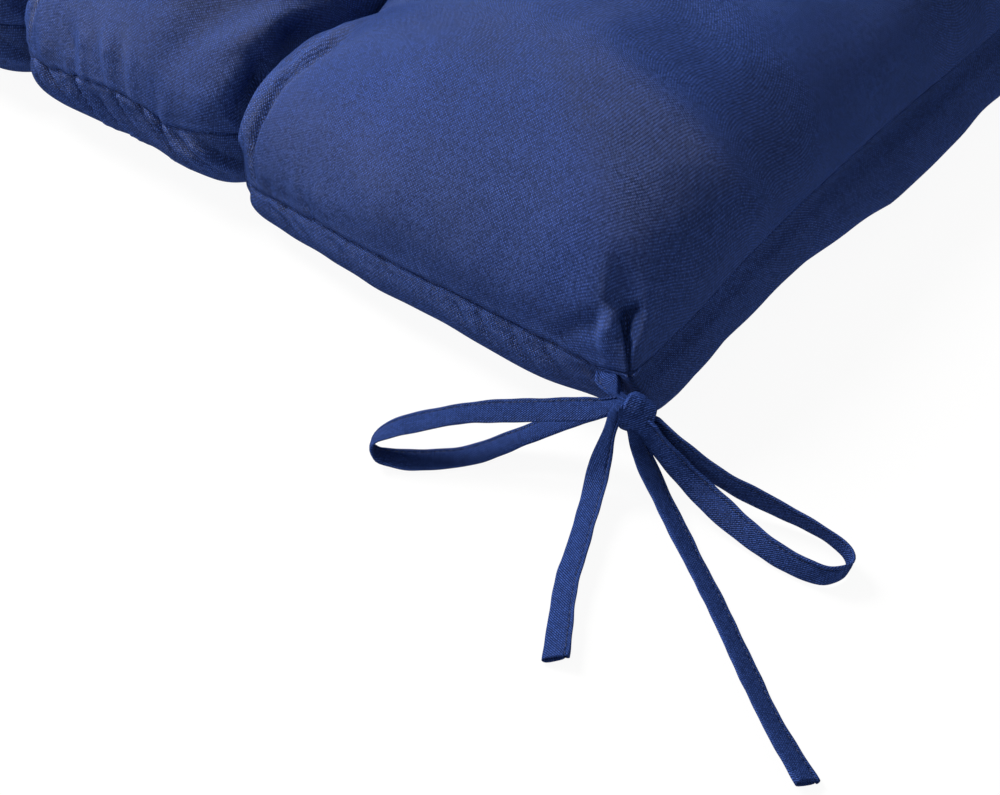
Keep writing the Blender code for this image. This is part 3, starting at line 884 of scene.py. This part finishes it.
def seamHeight(x, y):
    c = cushion
    longSeam = np.where(np.abs(x) > outerX, column(c["endSeam"], halfL - np.abs(x)),
                        column(c["innerSeam"], (-np.abs(x)) % c["pitch"]))
    shortSeam = column(c["shortSeam"], halfD - y)
    nearer = halfD - np.abs(y) - (halfL - np.abs(x))
    share = smoothStep(0.5 + nearer / (2 * c["cornerReach"]))
    return longSeam + (shortSeam - longSeam) * share


def channelFloor(y):
    c = cushion
    fromRow = np.abs(y) - (halfD - c["tuftInset"])
    outside = smoothStep(0.5 + fromRow / (2 * c["tuftReach"]))
    level = c["channelMiddle"] + (c["channelOuter"] - c["channelMiddle"]) * outside
    return level - (level - c["tuftTop"]) * bell(fromRow, c["tuftReach"])


def seamInset(x):
    depth, width, sharp = cushion["notch"]
    notch = depth * np.exp(-(channelDistance(x) / width) ** sharp)
    ear = cushion["ear"] * (1 - (np.abs(x) / halfL) ** cushion["earSharp"])
    return notch + ear + cushion["waist"] * innerShare(x)


def cornerPinch(fromLong, fromEnd):
    depth, at, length, width = cushion["pinch"]
    along = (fromLong + fromEnd) / math.sqrt(2)
    beside = (fromLong - fromEnd) / math.sqrt(2)
    fromSeam = smoothStep(np.minimum(fromLong, fromEnd) / width)
    return depth * bell(beside, width) * fromSeam * bell(along - at, length)


def panelPoints(x, offset, upper):
    # the same surface as the solid's panels
    c = cushion
    y = halfD - offset
    fromLong = halfD - np.abs(y)
    fromEnd = halfL - np.abs(x)
    longRise = rollHeight(fromLong, c["topLongRoll"] if upper else c["bottomRoll"])
    endRise = rollHeight(fromEnd, c["topEndRoll"] if upper else c["bottomRoll"])
    short = (1 - longRise) ** c["fullness"] + (1 - endRise) ** c["fullness"]
    rise = np.maximum(1 - short ** (1 / c["fullness"]), 0)
    seam = seamHeight(x, y)
    gap = channelDistance(x)
    if upper:
        crown = np.array(c["crowns"])[np.searchsorted(channelXs, x)]
        radius = np.where(np.abs(x) > outerX, c["channelRoll"], c["pitch"] / 2)
        floor = (channelFloor(y) - seam) / (crown - seam)
        fill = floor + (1 - floor) * rollHeight(gap, radius) ** c["flatness"]
        z = seam + (crown - seam) * rise * fill - cornerPinch(fromLong, fromEnd)
        longSwell = endSwell = c["topSwell"]
    else:
        fromRow = np.abs(y) - (halfD - c["tuftInset"])
        tuft = bell(fromRow, c["tuftReach"])
        lift = c["channelUnder"] + (c["tuftBottom"] - c["channelUnder"]) * tuft
        z = seam * (1 - rise) + lift * (1 - rollHeight(gap, c["bottomChannelRoll"])) * longRise
        longSwell = c["bottomLongSwell"]
        longSwell += (c["bottomInnerSwell"] - c["bottomLongSwell"]) * innerShare(x)
        atCorner = bell(fromEnd, c["cornerReach"])
        longSwell += (c["bottomCornerSwell"] - c["bottomLongSwell"]) * atCorner
        endSwell = column(c["bottomEndSwell"], halfD - y)
    drawn = seamInset(x) * np.exp(-fromLong / c["notchReach"])
    drawn = drawn - longSwell * rollBulge(longRise) * endRise
    ear = c["ear"] * (1 - (np.abs(y) / halfD) ** c["earSharp"])
    ear = ear * np.exp(-fromEnd / c["notchReach"])
    if not upper:
        endSwell = endSwell * smoothStep(rise / c["swellFrom"])
    ear = ear - endSwell * rollBulge(endRise) * (longRise if upper else longRise ** 0.5)
    return np.stack([x - np.sign(x) * ear, y - np.sign(y) * drawn, z], axis=-1)


# grid lines are close together at the seams and in the channels, in metres
gridSteps = {"seam": 0.0018, "seamReach": 0.085, "channel": 0.0019, "channelReach": 0.040,
             "wide": 0.0030, "growth": 1.10, "corner": 0.0012, "cornerReach": 0.034,
             "tiny": (0.15, 0.45), "middle": 48}


def marched(length, fine, reach):
    # places from 0 to length, a few tiny steps, then even ones, then wider and wider
    places = [0.0] + [fine * share for share in gridSteps["tiny"]]
    step = fine
    while places[-1] < length:
        if fine == gridSteps["seam"]:
            close = places[-1] < gridSteps["cornerReach"]
            step = gridSteps["corner"] if close else max(step, fine)
        if places[-1] > reach:
            step = min(step * gridSteps["growth"], gridSteps["wide"])
        places.append(places[-1] + step)
    return np.array(places) * length / places[-1]


def rollOffsets(radius):
    # even steps over the cloth of a quarter-round
    along = marched(radius * math.pi / 2, gridSteps["seam"], gridSteps["seamReach"])
    return radius * (1 - np.cos(along / radius))


def gridRows():
    near = rollOffsets(cushion["topLongRoll"])
    middle = np.linspace(near[-1], benchDepth - near[-1], gridSteps["middle"])[1:-1]
    return np.concatenate([near, middle, benchDepth - near[::-1]])


def gridColumns():
    steps = gridSteps
    foot = halfL - outerX
    end = rollOffsets(cushion["topEndRoll"])
    side = foot - marched(foot - end[-1], steps["channel"], steps["channelReach"])[::-1]
    end = np.concatenate([end, side[1:]]) - halfL
    half = marched(cushion["pitch"] / 2, steps["channel"], steps["channelReach"])
    puff = np.concatenate([half[1:], cushion["pitch"] - half[-2::-1]])
    return np.concatenate([end] + [x + puff for x in channelXs[:-1]] + [-end[-2::-1]])


def surfaceNormals(p):
    # outward for a grid whose first axis runs along x and second runs towards -y
    du = np.gradient(p, axis=0)
    dv = np.gradient(p, axis=1)
    n = np.cross(dv, du)
    return n / np.maximum(np.linalg.norm(n, axis=-1, keepdims=True), 1e-12)


def arcs(p, axis):
    step = np.linalg.norm(np.diff(p, axis=axis), axis=-1)
    start = np.zeros_like(np.take(step, [0], axis=axis))
    return np.concatenate([start, np.cumsum(step, axis=axis)], axis=axis)


# folds that don't show in the photo differ from those that do, between two limits
foldLook = {
    "seed": 21,
    "every": 3,  # mm between the points of a fold
    "reach": 2.5,  # in widths
    "asSeen": (1.0, 1.0),  # strength and stretch
    "corner": ((0.7, 1.1), (0.85, 1.2)),
    "channel": ((0.65, 1.05), (0.8, 1.15)),
    "puffAsSeen": (1.4, 0.0),  # strength and shift
    "puff": ((0.8, 1.5), (-0.006, 0.006)),
    "topCrease": (6.0, 0.5, 1.0),  # how far beside its ridge, depth, strength
    "bottomCrease": (4.6, 1.3, 1.15),
    "endCrease": (4.6, 1.2),
    "endStrength": (0.6, 0.5),
    "creaseWidth": 0.8,
}
# small pulls of the stitches: mm, but for the first one's place and the steps in metres
pullLook = {"first": 0.030, "step": (0.005, 0.016), "rise": (3, 9), "slant": (-2.5, 2.5),
            "depth": (0.25, 0.85), "width": (1.4, 2.6)}

# rows of a fold, mm over the cloth: along from the corner or the channel, over from the
# seam, then height (under zero is a crease) and width
cornerTop = (
    ((9, 33, -1.6, 2), (12.5, 33.6, -4, 2.2), (14.5, 31.5, -6, 2.3), (13.4, 28, -7, 1.9),
     (12, 25, -6.8, 1.5), (9.6, 20, -6.2, 1.35), (7.4, 16, -5.4, 1.3), (5, 10, -4.2, 1.25),
     (3.6, 6, -3, 1.2), (2, 1, -1.2, 1.1)),
    ((22, 36, 1, 8), (21, 28, 3.4, 6), (20, 22, 4.6, 5.2), (18, 14, 3.4, 4.8), (15, 7, 1.6, 4)),
    ((22, 34, -1.5, 5), (27, 22, -3, 5.5), (35, 17, -2.6, 5), (42, 9, -1.6, 4), (46, 2, -0.5, 3)),
    ((9, 42, 0.8, 7), (5, 28, 1.2, 5), (3, 17, 0.8, 4)),
)
cornerBottom = (
    ((26, 2, -1.6, 3), (20, 12, -1.6, 4), (16, 20, -0.6, 5)),
    ((9, 3, -1.4, 2.4), (12, 12, -1.2, 3), (18, 20, -0.4, 4)),
)
# along is from the channel here, under zero towards the end of the bench
channelTop = (
    ((-24, 72, -2, 3.5), (-21, 60, -4.6, 3), (-20, 48, -5.4, 2.8), (-18, 36, -5.4, 2.6),
     (-17, 25, -4.8, 2.4), (-18, 17, -3.6, 2.2), (-20, 9, -2.2, 2), (-22, 2, -0.8, 1.6)),
    ((-11, 62, 1.4, 4), (-11, 50, 3, 3.4), (-10, 38, 3.4, 3.2), (-9, 25, 3.2, 3),
     (-6, 12, 2.2, 2.8), (-4, 2, 0.6, 2.4)),
    ((3, 14, -3, 4.5), (1, 24, -8, 5.5), (1, 33, -10.5, 6), (3, 42, -7, 6)),
    ((2, 56, -5, 7), (3, 68, -11, 8), (4, 78, -11, 8), (4, 92, -4, 8)),
    ((-36, 116, -1, 4), (-37, 104, -3, 3.4), (-36, 92, -3.6, 3.2), (-31, 78, -3.4, 3),
     (-25, 66, -1.6, 2.6)),
    ((-28, 112, 1, 4), (-29, 98, 2.4, 4), (-29, 88, 2.6, 3.8), (-24, 76, 2.4, 3.4),
     (-17, 62, 1.4, 3.2)),
    ((-18, 108, -1.2, 3.6), (-20, 94, -2.8, 3.4), (-19, 84, -3, 3.2), (-14, 72, -2.2, 3)),
    ((12, 96, 1, 8), (13, 80, 2.6, 7.5), (14, 68, 3.2, 7.5), (19, 56, 3.2, 8), (27, 42, 2, 9),
     (38, 30, 0.6, 9)),
    ((31, 130, -3, 20), (30, 100, -7, 20), (30, 70, -8, 20), (30, 45, -5.5, 18),
     (29, 22, -1.5, 14)),
    ((8, 14, 0.6, 2.4), (5, 9, 1.4, 2.2), (3, 5, 1.4, 2), (2, 1, 0.6, 1.8)),
    ((-56, 29, -0.5, 3.5), (-58, 14, -1.3, 3.2), (-65, 1, -1, 2.4)),
    ((-32, 9, -1.2, 2.4), (-35, 1, -1, 2)),
    ((-46, 22, -0.3, 4), (-45, 10, -0.9, 3), (-47, 1, -0.8, 2.2)),
)
channelBottom = (
    ((26, 8, 0.8, 2.6), (17, 16, 1.8, 2.4), (9, 23, 1.6, 2.4), (7, 28, 0.5, 2.4)),
    ((20, 3, -1.2, 3), (10, 12, -2, 3.2), (2, 20, -2, 3.4)),
    ((-43, 2, -1, 2.2), (-49, 10, -1, 2.6), (-52, 16, -0.3, 3)),
    ((-14, 3, -1.4, 3), (-9, 14, -1.8, 3.4), (-4, 24, -0.8, 4)),
)
# small pleats below the end puff's seam, along from the corner
endBottom = (
    ((104, 0, 0.8, 2.2), (99, 5, 1.2, 2.6), (92, 10, 1, 3), (86, 18, 0.3, 3.4)),
    ((86, 1, 0.9, 2.4), (81, 8, 1.3, 2.8), (69, 14, 1, 3.2), (60, 20, 0.3, 3.6)),
    ((68, 1, 0.9, 2.4), (60, 9, 1.3, 2.8), (52, 14, 1, 3.2), (45, 21, 0.3, 3.6)),
    ((48, 0, 0.9, 2.2), (44, 6, 1.3, 2.6), (37, 10, 1.2, 3), (30, 17, 0.3, 3.4)),
    ((236, 0, 0.8, 2.4), (225, 5, 1.2, 2.8), (215, 9, 1.1, 3.2), (204, 15, 0.3, 3.6)),
    ((219, 1, 0.8, 2.4), (207, 6, 1.2, 2.8), (196, 11, 1, 3.2), (188, 17, 0.3, 3.6)),
    ((190, 1, 0.7, 2.4), (180, 5, 1, 2.8), (171, 8, 0.8, 3.2), (162, 13, 0.3, 3.6)),
    ((149, 0, 0.6, 2.4), (140, 4, 0.9, 2.8), (132, 9, 0.3, 3.2)),
)
# along is from the channel that is nearer the end; each ridge has its crease beside it
puffTop = (
    ((138, 17, 0.45, 4.3), (137, 9, 1.4, 3.8), (136, 2, 0.81, 2.9)),
    ((117, 19, 0.36, 4.9), (116, 12, 1.4, 3.8), (115, 1, 0.81, 2.9)),
    ((109, 34, 0.36, 5.8), (107, 22, 1.6, 4.3), (105, 2, 0.9, 3.2)),
    ((91, 38, 0.36, 6.5), (87, 22, 1.7, 4.6), (82, 3, 0.9, 3.2)),
    ((73, 36, 0.36, 6.5), (68, 18, 1.5, 4.6), (64, 1, 0.81, 3.2)),
    ((44, 24, 0.27, 6.5), (42, 12, 0.99, 4.9), (42, 1, 0.63, 3.5)),
)
puffBottom = (
    ((145, 1, 0.9, 2.6), (142, 5, 1.3, 2.6), (138, 9, 1.5, 2.8), (132, 16, 1, 3.2),
     (127, 24, 0.3, 3.6)),
    ((133, 0, 0.9, 2.6), (129, 3, 1.5, 2.6), (124, 7, 1.9, 2.6), (117, 13, 2.1, 2.9),
     (112, 20, 1.9, 3.2), (108, 28, 0.7, 3.6)),
    ((109, 0, 1.2, 2.6), (107, 3, 1.8, 2.6), (103, 9, 2.2, 2.6), (99, 15, 2.3, 2.8),
     (96, 23, 2.1, 3), (94, 31, 1, 3.6), (92, 38, 0.3, 4)),
    ((90, 8, 0.6, 2.4), (87, 12, 1.5, 2.6), (80, 20, 2, 2.8), (74, 28, 1.5, 3.2),
     (70, 35, 0.5, 3.6)),
    ((77, 0, 1.2, 2.6), (75, 3, 1.8, 2.6), (69, 11, 2.1, 3), (63, 16, 2.1, 3.2),
     (55, 21, 1.9, 3.4), (43, 24, 1.3, 3.6), (34, 28, 0.5, 4)),
    ((58, 0, 1.2, 2.4), (54, 3, 1.8, 2.4), (50, 6, 2, 2.6), (44, 9, 2.1, 2.6), (37, 13, 1.9, 3),
     (28, 20, 1.5, 3.4), (20, 27, 0.6, 3.8)),
    ((43, 0, 1.4, 2.2), (40, 4, 1.6, 2.2), (36, 9, 1.8, 2.4), (29, 15, 1.9, 2.6),
     (22, 19, 1.6, 3), (14, 25, 0.8, 3.6)),
    ((31, 3, 0.6, 2.2), (25, 7, 1.3, 2.4), (17, 13, 1.5, 2.6), (10, 20, 1.2, 3),
     (5, 26, 0.5, 3.4)),
)


def clothPoint(panel, along, over, sideX, sideY):
    # the place on a panel, along the bench from its end and over the cloth from its long seam
    at = np.interp(sideX * (halfL - along), xs, np.arange(len(xs)))
    low = min(int(at), len(xs) - 2)
    row = panel[low] + (panel[low + 1] - panel[low]) * (at - low)
    if sideY < 0:
        row = row[::-1]
    arc = np.concatenate([[0], np.cumsum(np.linalg.norm(np.diff(row, axis=0), axis=1))])
    return [np.interp(over, arc, row[:, k]) for k in range(3)]


def laidFold(panel, fold, start, sideX, sideY, strength=1.0, stretch=1.0):
    # fold rows in mm to points on the cloth
    rows = []
    for a, b in zip(fold[:-1], fold[1:]):
        steps = max(int(math.hypot(b[0] - a[0], b[1] - a[1]) / foldLook["every"]), 1)
        rows += [[a[k] + (b[k] - a[k]) * n / steps for k in range(4)] for n in range(steps)]
    rows.append(list(fold[-1]))
    laid = []
    for along, over, height, width in rows:
        place = clothPoint(panel, start + along * stretch * 0.001, over * 0.001, sideX, sideY)
        laid.append(place + [height * strength * 0.001, width * 0.001])
    return np.array(laid)


def foldField(points, folds):
    flat = points.reshape(-1, 3)
    total = np.zeros(len(flat))
    for fold in folds:
        reach = fold[:, 4].max() * foldLook["reach"]
        low = fold[:, :3].min(axis=0) - reach
        high = fold[:, :3].max(axis=0) + reach
        near = np.where(np.all((flat > low) & (flat < high), axis=1))[0]
        if len(near) == 0:
            continue
        p = flat[near]
        best = np.full(len(near), 1e9)
        value = np.zeros(len(near))
        for a, b in zip(fold[:-1], fold[1:]):
            line = b[:3] - a[:3]
            t = np.clip(((p - a[:3]) @ line) / max(line @ line, 1e-12), 0, 1)
            d = np.linalg.norm(p - (a[:3] + t[:, None] * line), axis=1)
            height = a[3] + (b[3] - a[3]) * t
            width = a[4] + (b[4] - a[4]) * t
            closer = d < best
            best = np.where(closer, d, best)
            value = np.where(closer, height * bell(d, width), value)
        total[near] += value
    return total.reshape(points.shape[:-1])


xs = gridColumns()
offsets = gridRows()
gridX, gridO = np.meshgrid(xs, offsets, indexing="ij")
top = panelPoints(gridX, gridO, True)
bottom = panelPoints(gridX, gridO, False)
print("cushion grid is", top.shape[:2])

topFolds = []
bottomFolds = []
rng = np.random.default_rng(foldLook["seed"])
foot = halfL - outerX
corners = [(sx, sy) for sx in (-1, 1) for sy in (1, -1)]


def varying(seen, spans, asSeen=foldLook["asSeen"]):
    # nothing is drawn for the corner or channel that the photo shows
    return asSeen if seen else [rng.uniform(*span) for span in spans]


def creased(fold, gap, depth):
    # the crease beside a ridge, on its far side
    return [(a + gap, o, -h * depth, w * foldLook["creaseWidth"]) for a, o, h, w in fold]


for sx, sy in corners:
    strength, stretch = varying(sx < 0 < sy, foldLook["corner"])
    for rows, panel, kept in ((cornerTop, top, topFolds), (cornerBottom, bottom, bottomFolds)):
        kept += [laidFold(panel, f, 0.0, sx, sy, strength, stretch) for f in rows]

# channels are counted from each end; the middle one is dressed from one end only
for sx, sy in corners:
    for number in range(3 if sx < 0 else 2):
        strength, stretch = varying(number == 0 and sx < 0 < sy, foldLook["channel"])
        start = foot + number * cushion["pitch"]
        for rows, panel, kept in ((channelTop, top, topFolds),
                                  (channelBottom, bottom, bottomFolds)):
            kept += [laidFold(panel, f, start, sx, sy, strength, stretch) for f in rows]

for sx, sy in corners:
    for number in range(2):
        seen = number == 0 and sx < 0 < sy
        start = foot + number * cushion["pitch"]
        for rows, panel, kept, crease in ((puffTop, top, topFolds, "topCrease"),
                                          (puffBottom, bottom, bottomFolds, "bottomCrease")):
            gap, depth, factor = foldLook[crease]
            for fold in rows:
                strength, shift = varying(seen, foldLook["puff"], foldLook["puffAsSeen"])
                for part in (fold, creased(fold, gap, depth)):
                    kept.append(laidFold(panel, part, start + shift, sx, sy, strength * factor))

for sx, sy in corners:
    for fold in endBottom:
        strength = 1.0
        if not sx < 0 < sy:
            least, more = foldLook["endStrength"]
            strength = least + more * math.sin(fold[0][0] + sx + 2 * sy) ** 2
        for part in (fold, creased(fold, *foldLook["endCrease"])):
            bottomFolds.append(laidFold(bottom, part, 0.0, sx, sy, strength))

for sx, sy in corners:
    for panel, kept in ((top, topFolds), (bottom, bottomFolds)):
        at = pullLook["first"]
        while at < halfL:
            rise, slant, depth, width = [rng.uniform(*pullLook[k])
                                         for k in ("rise", "slant", "depth", "width")]
            pull = ((0, 0.5, -depth, width), (slant * 0.5, rise * 0.5, -depth, width * 1.2),
                    (slant, rise, -depth * 0.2, width * 1.5))
            kept.append(laidFold(panel, pull, at, sx, sy))
            at += rng.uniform(*pullLook["step"])
print(len(topFolds) + len(bottomFolds), "folds")


def sewnSeams(p):
    # distance over the cloth from the nearest seam
    u = arcs(p, 0)
    v = arcs(p, 1)
    return np.minimum(np.minimum(u, u[-1:] - u), np.minimum(v, v[:, -1:] - v))


def lumps(p):
    # loose fibre never fills evenly
    r = np.random.default_rng(cushion["lumpSeed"])
    total = np.zeros(p.shape[:-1])
    for size, height in cushion["lumps"]:
        for _ in range(cushion["lumpWaves"]):
            way = r.normal(size=3)
            way /= np.linalg.norm(way)
            total += height * 0.5 * np.sin(p @ way * 2 * math.pi / size + r.uniform(0, 6.28))
    return total


def dressed(p, upper):
    c = cushion
    n = surfaceNormals(p) * (1 if upper else -1)
    d = sewnSeams(p)
    u = arcs(p, 0)
    endOnly = bell(np.minimum(u, u[-1:] - u), c["seamEnds"])
    folded = foldField(p, topFolds if upper else bottomFolds)
    move = folded.copy()
    for height, at, width, less in c["seamLine"]:
        move += height * bell(d - at, width) * (1 - less * endOnly)
    move += lumps(p) * smoothStep(d / c["lumpsFrom"])
    if not upper:
        move *= smoothStep(p[..., 2] / c["benchReach"])
    out = p + n * move[..., None]
    out[..., 2] = np.maximum(out[..., 2], 0.0)
    # painted shade: the colour is paler on a fold and darker in a crease
    shade = np.clip(folded / c["foldShade"], *c["topShade" if upper else "bottomShade"])
    return out, shade


newTop, topFoldShade = dressed(top, True)
newBottom, bottomFoldShade = dressed(bottom, False)
edge = np.zeros(top.shape[:2], dtype=bool)
edge[0, :] = edge[-1, :] = edge[:, 0] = edge[:, -1] = True
shared = (newTop + newBottom) / 2
newTop[edge] = shared[edge]
newBottom[edge] = shared[edge]


def clothUv(p, shiftV):
    # metres of cloth from the middle of the panel
    mid = p.shape[1] // 2
    half = p.shape[0] // 2
    rowArc = arcs(p, 0)
    rowArc = rowArc - rowArc[half:half + 1, :]
    u = 0.5 * (rowArc + rowArc[:, mid:mid + 1])
    colArc = arcs(p, 1)
    v = colArc - colArc[:, mid:mid + 1] + shiftV
    return np.stack([u, v], axis=-1)


topUv = clothUv(top, 0.0)
bottomUv = clothUv(bottom, cushion["clothApart"])
nx, ny = top.shape[:2]
topIds = np.arange(nx * ny).reshape(nx, ny)
bottomIds = topIds.copy()
inside = ~edge
bottomIds[inside] = nx * ny + np.arange(inside.sum())
points = np.concatenate([newTop.reshape(-1, 3), newBottom[inside]])
pale, paleAt, paleWidth = cushion["seamPale"]
seamWear = bell(sewnSeams(top) - paleAt, paleWidth) * pale
wearAndShade = np.concatenate([(seamWear + topFoldShade).ravel(), bottomFoldShade[inside]])


def gridQuads(grid, upper):
    # the four corners of each face, for point numbers and for UVs
    rows = (grid[:-1, :-1], grid[1:, :-1], grid[1:, 1:], grid[:-1, 1:])
    a, b, c, d = [r.reshape(-1, *grid.shape[2:]) for r in rows]
    return np.stack((a, d, c, b) if upper else (a, b, c, d), axis=1)


faces = np.concatenate([gridQuads(topIds, True), gridQuads(bottomIds, False)])
uvs = np.concatenate([gridQuads(topUv, True), gridQuads(bottomUv, False)])
pad = makeMesh("bench_cushion_body", points, faces.tolist(), fabric, uvs, wearAndShade)
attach(pad, "root")
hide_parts("cushion")
print("cushion is in,", len(pad.data.polygons), "faces")

# thread tacks at the tufts, top and bottom
tackPlaces = []
tackWays = []
lift = cushion["tackLift"]
for x in channelXs:
    for sy in (1, -1):
        y = sy * (halfD - cushion["tuftInset"])
        for z in (cushion["tuftTop"] + lift, cushion["tuftBottom"] - lift):
            for turn in cushion["tackTurns"]:
                tackPlaces.append((x, y, z))
                tackWays.append((math.cos(turn), math.sin(turn), 0.0))
tacks = makeStitches("tuft_tacks", tackPlaces, tackWays, *cushion["tackSize"], 8)
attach(tacks, "root")
print("tufts are in")

# white floor, just under the cushion
floorLook = {
    "half": 60.0,
    "top": -0.0006,
    "colour": (0.06, 0.06, 0.06, 1),
    "glow": 0.93,
    "roughness": 0.9,
    "shine": 0.0,
}


def addFloor(look):
    mesh = bpy.data.meshes.new("floor")
    s = look["half"]
    z = look["top"]
    mesh.from_pydata([(-s, -s, z), (s, -s, z), (s, s, z), (-s, s, z)], [], [(0, 1, 2, 3)])
    m, *_, feed = newMaterial("floor_look")
    feed(Base_Color=look["colour"], Roughness=look["roughness"], Specular_IOR_Level=look["shine"],
         Emission_Color=(1, 1, 1, 1), Emission_Strength=look["glow"])
    mesh.materials.append(m)
    made = bpy.data.objects.new("floor", mesh)
    scene.collection.objects.link(made)
    made.visible_glossy = False


addFloor(floorLook)

lightLook = {
    "target": (-0.35, 0.15, 0.08),
    # direction from the target, distance, size, power and colour
    "key": ((0.70, 0.02, 0.71), 2.4, 1.0, 99, (1.0, 0.98, 0.95)),
    "fill": ((0.80, 0.52, 0.28), 3.0, 1.2, 26, (1.0, 1.0, 1.0)),
    "world": 0.44,
}


def addLight(name, toward, distance, size, power, colour):
    way = Vector(toward).normalized()
    data = bpy.data.lights.new(name, "AREA")
    data.shape = "DISK"
    data.size = size
    data.energy = power
    data.color = colour
    made = bpy.data.objects.new(name, data)
    made.location = Vector(lightLook["target"]) + way * distance
    made.rotation_euler = way.to_track_quat("Z", "Y").to_euler()
    scene.collection.objects.link(made)


for name in ("key", "fill"):
    addLight(name, *lightLook[name])
world = bpy.data.worlds.new("studio")
world.use_nodes = True
background = world.node_tree.nodes["Background"]
background.inputs[0].default_value = (1, 1, 1, 1)
background.inputs[1].default_value = lightLook["world"]
world.cycles_visibility.glossy = False
scene.world = world
scene.view_settings.view_transform = "Standard"
print("light is in")
